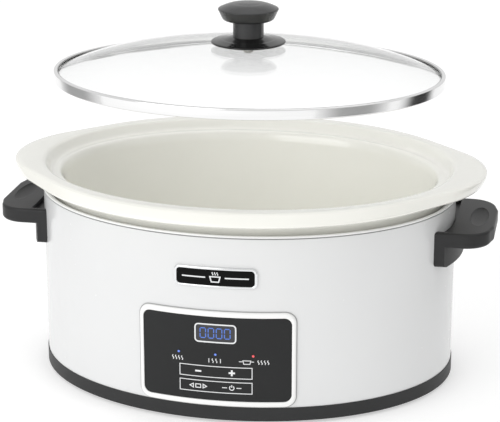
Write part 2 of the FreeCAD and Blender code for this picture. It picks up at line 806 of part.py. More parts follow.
def make_handles():
    half = size("handle_half_width")
    top = size("handle_top")
    low = top - size("handle_slab")
    reach = size("handle_reach")
    corner = DRIVING["handle_corner"]
    root = 150.0
    shoulder = 190.0
    nose = (212.3, 33.0)
    flat = 24.0
    slab = padded("handle_slab", [
        (root, -half), (shoulder, -half, corner), (nose[0], -nose[1]), (reach, -flat),
        (reach, flat), (nose[0], nose[1], corner), (shoulder, half), (root, half),
    ], low, top)
    dressed(slab, "Fillet", 2.2, lambda e: at_height(top.value)(e) and e.BoundBox.XMax > root + 1)
    dressed(slab, "Fillet", 2.6, lambda e: at_height(low.value)(e) and e.BoundBox.XMax > root + 1)
    ring = oval_prism("handle_plate_ring", size("handle_plate_stand"), 100, 160)
    box = block("handle_plate_box", (130, 200), (-half, half), (size("handle_plate_bottom"), top))
    rounded_box = rounded("handle_plate_corners", box, edges_along(box, ACROSS_LENGTH), 4.0)
    plate = common("handle_plate", ring, rounded_box)
    core = oval_prism("handle_core", SHELL_OUT, 90, 170)
    pocket = block("handle_pocket", (130, 181.5), (-half + 4.6, half - 4.6), (top - 4, top + OVERCUT))
    dish = doc.addObject("Part::Ellipsoid", "handle_dish")
    for prop, radius in (("Radius1", 3.4), ("Radius2", 7.6), ("Radius3", 26.0)):
        bind(dish, prop, radius)
    move(dish, 200.5, 0, top + 0.4)
    bores = []
    for n, y in enumerate((HANDLE_SCREW_Y, -HANDLE_SCREW_Y), start=1):
        bore = doc.addObject("Part::Cylinder", f"handle_bore_{n}")
        bind(bore, "Radius", 1.9)
        bind(bore, "Height", 12.2)
        bores.append(pointing_out(bore, y, -6.0, HANDLE_SCREW_Z))
    handle = cut("handle_right", fuse("handle_solid", slab, plate), core, pocket, dish, *bores)
    keep("handle_right", handle)
    keep("handle_left", mirrored("handle_left", handle, ACROSS_LENGTH))
    screws = []
    for n, y in enumerate((HANDLE_SCREW_Y, -HANDLE_SCREW_Y), start=1):
        screw = revolved(f"handle_screw_{n}", [
            (0, 1.8), (3.4, 1.8), (3.4, 3.9), (1.75, 3.9), (1.75, 11.0), (0, 11.8),
        ])
        pointing_out(screw, y, -6.0, HANDLE_SCREW_Z)
        screws.append(screw)
    pair = group("handle_screw_pair", *screws)
    keep("handle_screws", group("handle_screws", pair, mirrored("handle_screws_left", pair, ACROSS_LENGTH)))


# ---------------------------------------------------------------- crock

def eared_outline(length, width, reach, tip, height):
    """An oval with a rounded tip beyond each end, joined by lines that touch both."""
    centre = reach - tip
    low, high = 0.0, math.pi / 2

    def gap(angle):
        support = math.hypot(length * math.cos(angle), width * math.sin(angle))
        return support - (centre * math.cos(angle) + tip)

    for _ in range(60):
        middle = (low + high) / 2
        if gap(middle) < 0:
            low = middle
        else:
            high = middle
    angle = (low + high) / 2
    support = math.hypot(length * math.cos(angle), width * math.sin(angle))
    on_oval = Vector(length ** 2 * math.cos(angle), width ** 2 * math.sin(angle), height * support) / support
    on_tip = Vector(centre + tip * math.cos(angle), tip * math.sin(angle), height)

    def corner(point, x, y):
        return Vector(point.x * x, point.y * y, height)

    oval_curve = Part.Ellipse(Vector(0, 0, height), length, width)
    turn = math.atan2(on_oval.y / width, on_oval.x / length)
    edges = [
        Part.ArcOfEllipse(oval_curve, turn, math.pi - turn),
        Part.LineSegment(corner(on_oval, -1, 1), corner(on_tip, -1, 1)),
        Part.Arc(corner(on_tip, -1, 1), Vector(-reach, 0, height), corner(on_tip, -1, -1)),
        Part.LineSegment(corner(on_tip, -1, -1), corner(on_oval, -1, -1)),
        Part.ArcOfEllipse(oval_curve, math.pi + turn, 2 * math.pi - turn),
        Part.LineSegment(corner(on_oval, 1, -1), corner(on_tip, 1, -1)),
        Part.Arc(corner(on_tip, 1, -1), Vector(reach, 0, height), corner(on_tip, 1, 1)),
        Part.LineSegment(corner(on_tip, 1, 1), corner(on_oval, 1, 1)),
    ]
    return Part.Wire([edge.toShape() for edge in edges])


def make_crock():
    low = DRIVING["flange_bottom"]
    high = DRIVING["flange_top"]
    flange = doc.addObject("Part::Feature", "crock_flange")
    # each level: half length, half width, how far the ear stops short, ear radius, height
    flange.Shape = Part.makeLoft([
        eared_outline(length, width, DRIVING["ear_reach"] - short, tip, height)
        for length, width, short, tip, height in (
            (189.5, 158.5, 4.6, 96.0, low - 1.9), (189.6, 160.0, 3.0, 97.0, low + 0.4),
            (189.0, 154.2, 0.0, 89.0, high - 1.2), (187.6, 152.2, 1.2, 88.0, high))
    ], True, True)
    wall = oval_stack("crock_wall", [
        (-36.0, size("crock_bottom")), (-30.0, size("crock_bottom") + 2.0), (-26.0, 39.0),
        (-23.5, 46.0), (-8.0, 161.0), (-6.0, size("seat_level")),
    ])
    seat = oval_stack("crock_seat", [
        (-7.0, size("seat_level")), (-2.5, size("flange_top")), (-1.5, size("flange_top") + OVERCUT),
    ])
    bowl = oval_stack("crock_bowl", [
        (-54.0, size("crock_floor")), (-46.0, size("crock_floor") + 1.0),
        (-37.5, size("crock_floor") + 5.0), (-32.5, size("crock_floor") + 13.0),
        (-18.0, size("seat_level") - 5.0), (-16.0, size("seat_level") + 1.0),
    ])
    keep("crock", cut("crock", fuse("crock_solid", wall, flange), seat, bowl))


# ---------------------------------------------------------------- lid

LID_LENGTH = size("lid_half_length")
LID_WIDTH = size("lid_half_width")
GLASS_EDGE = 0.991
GLASS_LEVELS = (0.95, 0.9, 0.83, 0.74, 0.62, 0.48, 0.34, 0.2)


def glass_height(share):
    """Height of the dome above the glass's edge at a share of the way out."""
    return DRIVING["glass_rise"] * (1 - share ** 3)


def lid_stack(name, levels):
    """A solid through lid ovals, each level a (share of full size, height) pair."""
    solid = doc.addObject("Part::Loft", name)
    solid.Sections = [oval(f"{name}_level{n}", LID_LENGTH * share, LID_WIDTH * share, height)
                      for n, (share, height) in enumerate(levels, start=1)]
    solid.Solid = True
    solid.Ruled = True
    return solid


def make_lid():
    low = size("lid_bottom")
    high = low + size("lid_rim_height")
    sheet_metal = size("lid_rim_sheet")
    band = oval_ring("rim_band", 0.0, -size("lid_rim_depth"), low, high, LID_LENGTH, LID_WIDTH)
    channel = oval_ring("rim_channel", -sheet_metal, -size("lid_rim_depth") - 2, low + sheet_metal,
                        high - sheet_metal, LID_LENGTH, LID_WIDTH)
    keep("lid_rim", cut("lid_rim", band, channel))
    edge_low = low + 2.1
    edge_high = edge_low + size("glass_thickness")
    dome = [(share, edge_high + glass_height(share) - glass_height(GLASS_EDGE)) for share in GLASS_LEVELS]
    outside = [(GLASS_EDGE, edge_low), (GLASS_EDGE, edge_high)] + dome
    inside = [(0.962, edge_low - 0.3)]
    inside += [(share, height - size("glass_thickness")) for share, height in dome]
    bore = rod("glass_bore", 4.0, (0, 0, 200), 150)
    glass = cut("lid_glass", lid_stack("glass_outer", outside), lid_stack("glass_inner", inside), bore)
    keep("lid_glass", glass)
    crown = dome[-1][1]
    gasket = rod("gasket_disc", 16.0, (0, 0, crown), size("skirt_bottom") - crown)
    keep("knob_gasket", cut("knob_gasket", gasket, rod("gasket_bore", 3.0, (0, 0, 250), 60)))
    under = crown - size("glass_thickness")
    washer = rod("washer_disc", 8.0, (0, 0, under - 1.2), 1.2)
    keep("lid_washer", cut("lid_washer", washer, rod("washer_bore", 2.7, (0, 0, 250), 60)))
    screw = revolved("lid_screw_turn", [
        (0, under - 4.0), (3.6, under - 4.0), (4.6, under - 3.0), (4.6, under - 1.2), (2.4, under - 1.2),
        (2.4, size("skirt_top") + 9.0), (1.8, size("skirt_top") + 9.6), (0, size("skirt_top") + 9.6),
    ])
    keep("lid_screw", screw)


def make_knob():
    low = size("skirt_bottom")
    stem = size("stem_radius")
    radius = size("skirt_radius")
    top = size("skirt_top")
    skirt = revolved("skirt_turn", [
        (2.7, low), (radius - 1.2, low), (radius, low + 0.5), (radius - 0.3, low + 1.2),
        (stem + 5, top - 1.1, -14.0), (stem, top + 0.6), (2.7, top + 0.6),
    ])
    keep("knob_skirt", skirt)
    cap = size("cap_radius")
    grip_low = top + 0.6
    bore = 2.5
    depth = size("skirt_top") + 10.6
    crown = cap - 0.5
    rise = size("cap_top") - size("cap_rim")
    dome = (crown.value ** 2 + rise.value ** 2) / (2 * rise.value)
    grip = revolved("grip_turn", [
        (bore, grip_low), (stem, grip_low), (stem, size("cap_low") - 0.4), (stem + 6, size("cap_low")),
        (cap - 4.3, size("cap_low") + 1.7), (cap, size("cap_rim") - 0.4), (crown, size("cap_rim"), dome),
        (0, size("cap_top")), (0, depth), (bore, depth),
    ])
    keep("knob_grip", grip)


MAKERS = (
    make_feet, make_base_pan, make_base_screws, make_outer_shell, make_rim_ring, make_liner, make_heater,
    make_well_fixings, make_sensors, make_power_board, make_bezel, make_fascia, make_display, make_lamps,
    make_keys, make_control_board, make_badge, make_gland, make_handles, make_crock, make_lid, make_knob,
)


def main():
    for maker in MAKERS:
        maker()
    doc.recompute()
    for item in doc.Objects:
        if "Invalid" in item.State or "Error" in item.State:
            reason = f"{item.State} {item.getStatusString()}"
            raise RuntimeError(f"{item.Name} ({item.Label}) did not rebuild: {reason}")
    for name, item in nodes.items():
        shape = item.Shape
        if shape.isNull() or not shape.isValid() or not shape.Solids:
            raise RuntimeError(f"{name} has no valid solid")
    os.makedirs("parts", exist_ok=True)
    for name, item in nodes.items():
        item.Shape.exportStep(f"parts/{name}.step")
        print(f"{name:22s} {len(item.Shape.Solids)} solid(s) {item.Shape.Volume / 1000:9.2f} cm3")


main()
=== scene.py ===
"""Looks of the oval slow cooker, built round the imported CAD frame. Metres, CAD frame."""

import json
import math

import bmesh
import bpy
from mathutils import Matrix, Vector


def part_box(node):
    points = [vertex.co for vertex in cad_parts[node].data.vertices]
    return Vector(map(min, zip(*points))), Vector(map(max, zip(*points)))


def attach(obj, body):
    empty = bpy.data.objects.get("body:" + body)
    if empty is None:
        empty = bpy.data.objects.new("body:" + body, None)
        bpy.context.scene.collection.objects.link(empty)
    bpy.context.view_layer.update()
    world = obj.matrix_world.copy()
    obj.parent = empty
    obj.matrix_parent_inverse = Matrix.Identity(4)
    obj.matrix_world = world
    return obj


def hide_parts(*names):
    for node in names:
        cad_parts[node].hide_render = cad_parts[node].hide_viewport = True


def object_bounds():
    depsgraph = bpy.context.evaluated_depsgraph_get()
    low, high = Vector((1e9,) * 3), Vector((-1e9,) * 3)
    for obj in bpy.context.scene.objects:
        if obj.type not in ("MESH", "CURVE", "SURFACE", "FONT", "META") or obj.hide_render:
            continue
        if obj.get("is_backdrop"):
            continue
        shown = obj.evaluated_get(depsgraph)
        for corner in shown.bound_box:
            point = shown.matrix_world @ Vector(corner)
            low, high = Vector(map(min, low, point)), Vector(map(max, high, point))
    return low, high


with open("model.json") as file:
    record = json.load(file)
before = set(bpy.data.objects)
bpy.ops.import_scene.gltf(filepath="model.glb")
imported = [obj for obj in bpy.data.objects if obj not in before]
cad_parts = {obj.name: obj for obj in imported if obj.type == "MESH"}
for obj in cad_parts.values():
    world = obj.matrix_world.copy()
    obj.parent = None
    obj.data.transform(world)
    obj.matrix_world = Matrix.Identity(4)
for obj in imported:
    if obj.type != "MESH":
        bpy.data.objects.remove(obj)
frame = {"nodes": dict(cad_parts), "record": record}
CAD_LOW, CAD_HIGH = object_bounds()

MM = 0.001
AROUND = 240          # points round each oval


# ---------------------------------------------------------------- the frame's own measures

SHELL_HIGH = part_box("outer_shell")[1]
SHELL_INSET = 0.57 * MM      # the body oval, which offsets start from, lies this far outside the shell's box
BODY_A = SHELL_HIGH.x + SHELL_INSET
BODY_B = SHELL_HIGH.y + SHELL_INSET
CROCK_LOW, CROCK_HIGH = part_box("crock")
RIM_LOW, RIM_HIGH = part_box("lid_rim")
GLASS_LOW, GLASS_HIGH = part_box("lid_glass")
SKIRT_LOW, SKIRT_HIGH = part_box("knob_skirt")
GRIP_LOW, GRIP_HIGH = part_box("knob_grip")
FASCIA_LOW, FASCIA_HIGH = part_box("fascia")
BEZEL_LOW, BEZEL_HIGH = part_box("control_bezel")
BADGE_LOW, BADGE_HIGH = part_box("badge_frame")
PLATE_LOW, PLATE_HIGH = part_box("badge_plate")
SCREEN_LOW, SCREEN_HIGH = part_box("display_window")


# ---------------------------------------------------------------- materials

def socket(shader, name, value):
    shader.inputs[name].default_value = value


def finish_of(name, low, high, rough, grain=400.0, mottle=30.0, bump=0.0, metallic=0.0,
              stretch=(1.0, 1.0, 1.0), **sockets):
    """A surface whose shade, roughness and relief all vary a little, each at its own scale."""
    made = bpy.data.materials.new(name)
    made.use_nodes = True
    nodes = made.node_tree.nodes
    links = made.node_tree.links
    shader = nodes["Principled BSDF"]
    socket(shader, "Metallic", metallic)
    for key, value in sockets.items():
        socket(shader, key.replace("_", " "), value)
    place = nodes.new("ShaderNodeTexCoord")
    mapping = nodes.new("ShaderNodeMapping")
    mapping.inputs["Scale"].default_value = stretch
    links.new(place.outputs["Object"], mapping.inputs["Vector"])

    patches = nodes.new("ShaderNodeTexNoise")
    patches.inputs["Scale"].default_value = mottle
    patches.inputs["Detail"].default_value = 4.0
    links.new(mapping.outputs["Vector"], patches.inputs["Vector"])
    shade = nodes.new("ShaderNodeMix")
    shade.data_type = "RGBA"
    shade.inputs["A"].default_value = (*low, 1.0)
    shade.inputs["B"].default_value = (*high, 1.0)
    links.new(patches.outputs["Fac"], shade.inputs["Factor"])
    links.new(shade.outputs["Result"], shader.inputs["Base Color"])

    fine = nodes.new("ShaderNodeTexNoise")
    fine.inputs["Scale"].default_value = grain
    fine.inputs["Detail"].default_value = 3.0
    links.new(mapping.outputs["Vector"], fine.inputs["Vector"])
    spread = nodes.new("ShaderNodeMapRange")
    spread.inputs["To Min"].default_value = rough[0]
    spread.inputs["To Max"].default_value = rough[1]
    links.new(fine.outputs["Fac"], spread.inputs["Value"])
    links.new(spread.outputs["Result"], shader.inputs["Roughness"])
    if bump:
        relief = nodes.new("ShaderNodeBump")
        relief.inputs["Strength"].default_value = 1.0
        relief.inputs["Distance"].default_value = bump
        links.new(fine.outputs["Fac"], relief.inputs["Height"])
        links.new(relief.outputs["Normal"], shader.inputs["Normal"])
    return made


def lit(name, low, high, glow, strength):
    """A moulded light: tinted plastic that also shines."""
    made = finish_of(name, low, high, (0.25, 0.4), grain=900.0, mottle=500.0, bump=0.00001)
    shader = made.node_tree.nodes["Principled BSDF"]
    socket(shader, "Emission Color", (*glow, 1.0))
    socket(shader, "Emission Strength", strength)
    return made


ENAMEL = finish_of("white_enamel", (0.745, 0.75, 0.75), (0.77, 0.775, 0.775), (0.2, 0.3), grain=260.0,
                   mottle=12.0, bump=0.000008, Coat_Weight=0.3, Coat_Roughness=0.08)
RING_WHITE = finish_of("rim_white", (0.88, 0.885, 0.88), (0.92, 0.925, 0.92), (0.2, 0.3), grain=500.0,
                       mottle=25.0, bump=0.00001)
BEZEL_WHITE = finish_of("bezel_white", (0.90, 0.90, 0.89), (0.94, 0.94, 0.93), (0.15, 0.25), grain=500.0,
                        mottle=30.0, bump=0.000008, Coat_Weight=0.5, Coat_Roughness=0.05)
GLAZE = finish_of("cream_glaze", (0.905, 0.90, 0.838), (0.935, 0.93, 0.872), (0.14, 0.22), grain=120.0,
                  mottle=20.0, bump=0.00004, Coat_Weight=0.6, Coat_Roughness=0.05)
BARE_CLAY = finish_of("bare_clay", (0.62, 0.57, 0.49), (0.72, 0.68, 0.60), (0.7, 0.9), grain=900.0,
                      mottle=80.0, bump=0.00008)
DARK = finish_of("dark_plastic", (0.021, 0.0215, 0.022), (0.028, 0.0285, 0.029), (0.42, 0.55), grain=2200.0,
                 mottle=40.0, bump=0.00003, Specular_IOR_Level=0.3)
HANDLE = finish_of("handle_plastic", (0.018, 0.018, 0.0185), (0.025, 0.025, 0.0255), (0.38, 0.5),
                   grain=2600.0, mottle=50.0, bump=0.00002, Specular_IOR_Level=0.32)
KNOB = finish_of("knob_plastic", (0.028, 0.0285, 0.029), (0.036, 0.0365, 0.037), (0.2, 0.3), grain=1800.0,
                 mottle=60.0, bump=0.00001, Specular_IOR_Level=0.5)
KNOB_GLOSS = finish_of("knob_gloss", (0.005, 0.005, 0.005), (0.009, 0.009, 0.009), (0.1, 0.18), grain=900.0,
                       mottle=60.0, bump=0.000004, Specular_IOR_Level=0.45)
PANEL = finish_of("panel_film", (0.011, 0.0115, 0.012), (0.015, 0.0155, 0.016), (0.4, 0.5), grain=3000.0,
                  mottle=20.0, bump=0.000006, Specular_IOR_Level=0.3)
KEY_SKIN = finish_of("key_film", (0.011, 0.0115, 0.012), (0.015, 0.0155, 0.016), (0.38, 0.48), grain=3000.0,
                     mottle=25.0, bump=0.000006, Specular_IOR_Level=0.3)
SCREEN = finish_of("display_smoke", (0.045, 0.045, 0.05), (0.055, 0.055, 0.06), (0.14, 0.22), grain=900.0,
                   mottle=60.0, bump=0.000004, Specular_IOR_Level=0.35)
MODULE = finish_of("display_moulding", (0.018, 0.018, 0.02), (0.03, 0.03, 0.033), (0.4, 0.55), grain=1500.0,
                   mottle=90.0, bump=0.00002)
PRINT = finish_of("white_print", (0.78, 0.79, 0.80), (0.88, 0.89, 0.90), (0.45, 0.6), grain=2500.0,
                  mottle=300.0, bump=0.000004)
STEEL = finish_of("rim_steel", (0.80, 0.80, 0.80), (0.88, 0.88, 0.88), (0.08, 0.18), grain=60.0,
                  mottle=14.0, bump=0.000004, metallic=1.0, stretch=(1.0, 1.0, 40.0))
ZINC = finish_of("zinc_steel", (0.5, 0.5, 0.5), (0.68, 0.67, 0.64), (0.25, 0.42), grain=900.0,
                 mottle=300.0, bump=0.00001, metallic=1.0)
WELL = finish_of("aluminised_sheet", (0.52, 0.53, 0.54), (0.68, 0.68, 0.68), (0.3, 0.5), grain=300.0,
                 mottle=45.0, bump=0.00003, metallic=1.0, stretch=(1.0, 1.0, 12.0))
SHIELD = finish_of("bright_sheet", (0.72, 0.72, 0.73), (0.82, 0.82, 0.83), (0.15, 0.3), grain=500.0,
                   mottle=40.0, bump=0.00001, metallic=1.0, stretch=(1.0, 1.0, 20.0))
CHROME = finish_of("badge_chrome", (0.78, 0.79, 0.80), (0.86, 0.87, 0.88), (0.04, 0.1), grain=300.0,
                   mottle=60.0, bump=0.000004, metallic=1.0)
BLACK = finish_of("badge_black", (0.003, 0.003, 0.003), (0.006, 0.006, 0.006), (0.1, 0.18), grain=600.0,
                  mottle=80.0, bump=0.000004, Specular_IOR_Level=0.08)
# Grey for thin rings that stand in for shade: painted shade in the gap under the bead, a painted shadow round
# the bezel, and the lid's lip seal.
PAINTED_SHADE_GREY = finish_of("painted_shade_grey", (0.30, 0.30, 0.30), (0.38, 0.38, 0.38), (0.4, 0.6), grain=1500.0,
                      mottle=200.0, bump=0.00001)
RUBBER = finish_of("foot_rubber", (0.02, 0.02, 0.02), (0.04, 0.04, 0.038), (0.7, 0.9), grain=2400.0,
                   mottle=150.0, bump=0.00005)
GLAND = finish_of("gland_rubber", (0.022, 0.022, 0.022), (0.036, 0.036, 0.036), (0.5, 0.7), grain=2400.0,
                  mottle=150.0, bump=0.00003)
SILICONE = finish_of("silicone", (0.60, 0.61, 0.61), (0.74, 0.75, 0.75), (0.4, 0.6), grain=1200.0,
                     mottle=200.0, bump=0.00001)
MICA = finish_of("mica_sheet", (0.33, 0.25, 0.15), (0.55, 0.45, 0.30), (0.35, 0.6), grain=500.0,
                 mottle=160.0, bump=0.00004)
BOARD = finish_of("solder_mask", (0.02, 0.13, 0.07), (0.05, 0.26, 0.13), (0.25, 0.45), grain=900.0,
                  mottle=350.0, bump=0.00002)
RELAY = finish_of("relay_case", (0.05, 0.14, 0.42), (0.08, 0.2, 0.52), (0.35, 0.5), grain=1500.0,
                  mottle=90.0, bump=0.00001)
WINDING = finish_of("winding_tape", (0.62, 0.50, 0.12), (0.78, 0.66, 0.24), (0.3, 0.5), grain=700.0,
                    mottle=120.0, bump=0.00003, stretch=(1.0, 1.0, 6.0))
NYLON = finish_of("nylon", (0.72, 0.72, 0.66), (0.84, 0.84, 0.80), (0.4, 0.55), grain=1500.0,
                  mottle=90.0, bump=0.00001)
BLUE_LAMP = lit("lamp_blue", (0.10, 0.18, 0.6), (0.14, 0.26, 0.7), (0.14, 0.22, 0.75), 0.4)
RED_LAMP = lit("lamp_red", (0.6, 0.05, 0.06), (0.75, 0.10, 0.10), (0.9, 0.12, 0.13), 0.5)
DIGIT_BLUE = lit("digit_blue", (0.06, 0.12, 0.42), (0.08, 0.17, 0.52), (0.08, 0.18, 0.62), 0.35)


def clear_glass():
    """Clear tempered glass with the faintest green body and a few smears of roughness."""
    made = finish_of("clear_glass", (0.972, 0.977, 0.976), (0.984, 0.988, 0.987), (0.0, 0.008), grain=18.0,
                     mottle=9.0, bump=0.0)
    shader = made.node_tree.nodes["Principled BSDF"]
    socket(shader, "Transmission Weight", 1.0)
    socket(shader, "IOR", 1.46)
    return made


GLASS = clear_glass()

SLOT_FINISH = {
    "foot_rubber": RUBBER, "dark_plastic": DARK, "steel_fastener": ZINC, "white_enamel": ENAMEL,
    "well_metal": WELL, "heater_mica": MICA, "fuse_metal": SHIELD, "board_green": BOARD,
    "relay_blue": RELAY, "transformer_body": WINDING, "terminal_plastic": NYLON,
    "white_gloss": BEZEL_WHITE, "panel_black": PANEL, "window_smoke": SCREEN, "print_white": PRINT,
    "display_black": MODULE, "lamp_blue": BLUE_LAMP, "lamp_red": RED_LAMP, "key_black": KEY_SKIN,
    "shield_aluminium": SHIELD, "badge_chrome": CHROME, "badge_black": BLACK, "gland_rubber": GLAND,
    "handle_plastic": HANDLE, "stoneware": GLAZE, "rim_steel": STEEL, "lid_clear": GLASS,
    "gasket_silicone": SILICONE, "knob_plastic": KNOB,
}
SLOT_OF = {part["node"]: part["material_slot"] for part in frame["record"]["subparts"]}
for node, item in frame["nodes"].items():
    made = SLOT_FINISH[SLOT_OF[node]]
    if item.material_slots:
        item.material_slots[0].material = made
    else:
        item.data.materials.append(made)


# ---------------------------------------------------------------- building pieces

def placed(bm, name, body, material, stands_for=(), crease=40.0):
    """Turn a finished bmesh into a piece that rides on a body."""
    bmesh.ops.recalc_face_normals(bm, faces=bm.faces[:])
    mesh = bpy.data.meshes.new(name)
    bm.to_mesh(mesh)
    bm.free()
    mesh.shade_smooth()
    mesh.set_sharp_from_angle(angle=math.radians(crease))
    mesh.materials.append(material)
    item = bpy.data.objects.new(name, mesh)
    bpy.context.scene.collection.objects.link(item)
    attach(item, body)
    if stands_for:
        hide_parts(*stands_for)
    return item


def add_rings(bm, rings, loop=False):
    """Join rings of equal length into a skin: a loop closes on itself, otherwise both ends are capped."""
    rows = [[bm.verts.new(point) for point in ring] for ring in rings]
    count = len(rows[0])
    pairs = list(zip(rows, rows[1:]))
    if loop:
        pairs.append((rows[-1], rows[0]))
    for first, second in pairs:
        for n in range(count):
            m = (n + 1) % count
            bm.faces.new((first[n], first[m], second[m], second[n]))
    if not loop:
        bm.faces.new(rows[0])
        bm.faces.new(rows[-1])
    return rows


def softened(points, steps=4):
    """Round each corner of a profile whose last number is a radius, in as many dimensions as it has."""
    out = []
    count = len(points)
    for n, point in enumerate(points):
        here = Vector(point[:-1])
        radius = point[-1]
        if radius <= 0 or n in (0, count - 1):
            out.append(here)
            continue
        before = Vector(points[n - 1][:-1]) - here
        after = Vector(points[n + 1][:-1]) - here
        start = here + before * min(radius / before.length, 0.5)
        end = here + after * min(radius / after.length, 0.5)
        for step in range(steps + 1):
            t = step / steps
            out.append(start * (1 - t) ** 2 + here * 2 * t * (1 - t) + end * t * t)
    return out


def circle(radius, height, count):
    """A level ring of points round the Z axis."""
    turns = [2 * math.pi * n / count for n in range(count)]
    return [(radius * math.cos(turn), radius * math.sin(turn), height) for turn in turns]


SMALLEST_TURN = 0.05  # millimetres: a point on the axis is drawn as a ring this small


def turned(name, profile, body, material, stands_for=(), loop=False, count=96, crease=40.0):
    """A lathe-turned piece from a softened profile of (radius, height, corner radius), in millimetres."""
    rings = [circle(max(point[0], SMALLEST_TURN) * MM, point[1] * MM, count) for point in softened(profile)]
    return ring_piece(name, rings, body, material, stands_for, loop, crease)


DIRECTIONS = []
for number in range(AROUND):
    turn = 2 * math.pi * number / AROUND
    DIRECTIONS.append(math.atan2(BODY_B * math.sin(turn), BODY_A * math.cos(turn)))


def oval_reach(a, b, angle):
    """How far an oval of half axes a and b reaches in a direction."""
    return 1 / math.hypot(math.cos(angle) / a, math.sin(angle) / b)


HALVINGS = 50         # steps of the search for the line that touches an oval and its tip


def eared_reach(length, width, tip_end, tip, angle):
    """How far an oval with a rounded tip beyond each end reaches in a direction."""
    centre = tip_end - tip
    low, high = 0.0, math.pi / 2
    for _ in range(HALVINGS):
        middle = (low + high) / 2
        support = math.hypot(length * math.cos(middle), width * math.sin(middle))
        if support < centre * math.cos(middle) + tip:
            low = middle
        else:
            high = middle
    normal = (low + high) / 2
    support = math.hypot(length * math.cos(normal), width * math.sin(normal))
    on_oval = Vector((length ** 2 * math.cos(normal), width ** 2 * math.sin(normal))) / support
    on_tip = Vector((centre + tip * math.cos(normal), tip * math.sin(normal)))
    folded = math.atan2(abs(math.sin(angle)), abs(math.cos(angle)))
    if folded >= math.atan2(on_oval.y, on_oval.x):
        return oval_reach(length, width, folded)
    if folded <= math.atan2(on_tip.y, on_tip.x):
        across = centre * math.sin(folded)
        return centre * math.cos(folded) + math.sqrt(tip * tip - across * across)
    run = on_tip - on_oval
    heading = Vector((math.cos(folded), math.sin(folded)))
    return (on_oval.x * run.y - on_oval.y * run.x) / (heading.x * run.y - heading.y * run.x)


def oval_ring(offset, height, a=BODY_A, b=BODY_B):
    """A level ring on an oval of half axes a and b, moved outwards by an offset."""
    reaches = [oval_reach(a + offset, b + offset, t) for t in DIRECTIONS]
    return [(reach * math.cos(t), reach * math.sin(t), height) for reach, t in zip(reaches, DIRECTIONS)]


def ring_piece(name, rings, body, material, stands_for=(), loop=True, crease=40.0):
    """A piece whose skin joins level rings, such as the body's oval at one height after another."""
    bm = bmesh.new()
    add_rings(bm, rings, loop)
    return placed(bm, name, body, material, stands_for, crease)


def body_rings(profile):
    """The body's oval at each (offset, height) of a profile, in millimetres."""
    return [oval_ring(offset * MM, height * MM) for offset, height in profile]


# ---------------------------------------------------------------- the shell's top edge

RING_LOW, RING_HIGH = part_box("rim_ring")
RING_OUT = (RING_HIGH.x - BODY_A) / MM
BEAD_RAISED = 0.7     # the grey ring of painted shade in the gap shows as a line this tall under the bead
BEAD_FOOT = RING_LOW.z / MM + BEAD_RAISED
BEAD_TOP = RING_HIGH.z / MM
BEAD_IN = -2.2        # the bead is narrow, so the crock's neck runs down right behind it
BEAD_PROFILE = [
    (BEAD_IN, BEAD_FOOT, 0), (RING_OUT, BEAD_FOOT, 0.5), (RING_OUT, BEAD_TOP, 0.8), (BEAD_IN, BEAD_TOP, 0),
]
ring_piece("rim_bead", body_rings(softened(BEAD_PROFILE)), "housing", RING_WHITE,
           ["rim_ring"])

# A grey ring in the joint under the bead: painted shade for the shadowed gap there.
GAP_SHADE_OUT = -1.2
GAP_SHADE_FOOT = RING_LOW.z / MM - 0.2
GAP_SHADE_TOP = BEAD_FOOT + 0.1
ring_piece("rim_gap_shade", body_rings(((BEAD_IN, GAP_SHADE_FOOT), (GAP_SHADE_OUT, GAP_SHADE_FOOT), (GAP_SHADE_OUT, GAP_SHADE_TOP),
                                   (BEAD_IN, GAP_SHADE_TOP))), "housing", PAINTED_SHADE_GREY)


# ---------------------------------------------------------------- crock

EAR_END = CROCK_HIGH.x
EAR_BASE = 12 * MM       # the flange's own oval is this far outside the body oval
UPPER_OVAL = (189.0 * MM, 154.2 * MM)
UPPER_TIP = 89 * MM
LOWER_OVAL = (189.6 * MM, 160.0 * MM)
LOWER_TIP = 97 * MM
LOWER_SET_BACK = 3.0 * MM


def ear_growth(oval, tip_end, tip):
    """How far an ear's outline stands outside the flange's own oval, in each direction."""
    return [eared_reach(*oval, tip_end, tip, t) - oval_reach(BODY_A + EAR_BASE, BODY_B + EAR_BASE, t)
            for t in DIRECTIONS]


UPPER_EAR = ear_growth(UPPER_OVAL, EAR_END, UPPER_TIP)
LOWER_EAR = ear_growth(LOWER_OVAL, EAR_END - LOWER_SET_BACK, LOWER_TIP)


def crock_ring(offset, upper, lower, height):
    """A level of the crock: the body oval moved out by an offset, plus a share of each ear outline."""
    ring = []
    for t, high_ear, low_ear in zip(DIRECTIONS, UPPER_EAR, LOWER_EAR):
        reach = oval_reach(BODY_A + offset * MM, BODY_B + offset * MM, t) + upper * high_ear + lower * low_ear
        ring.append((reach * math.cos(t), reach * math.sin(t), height * MM))
    return ring


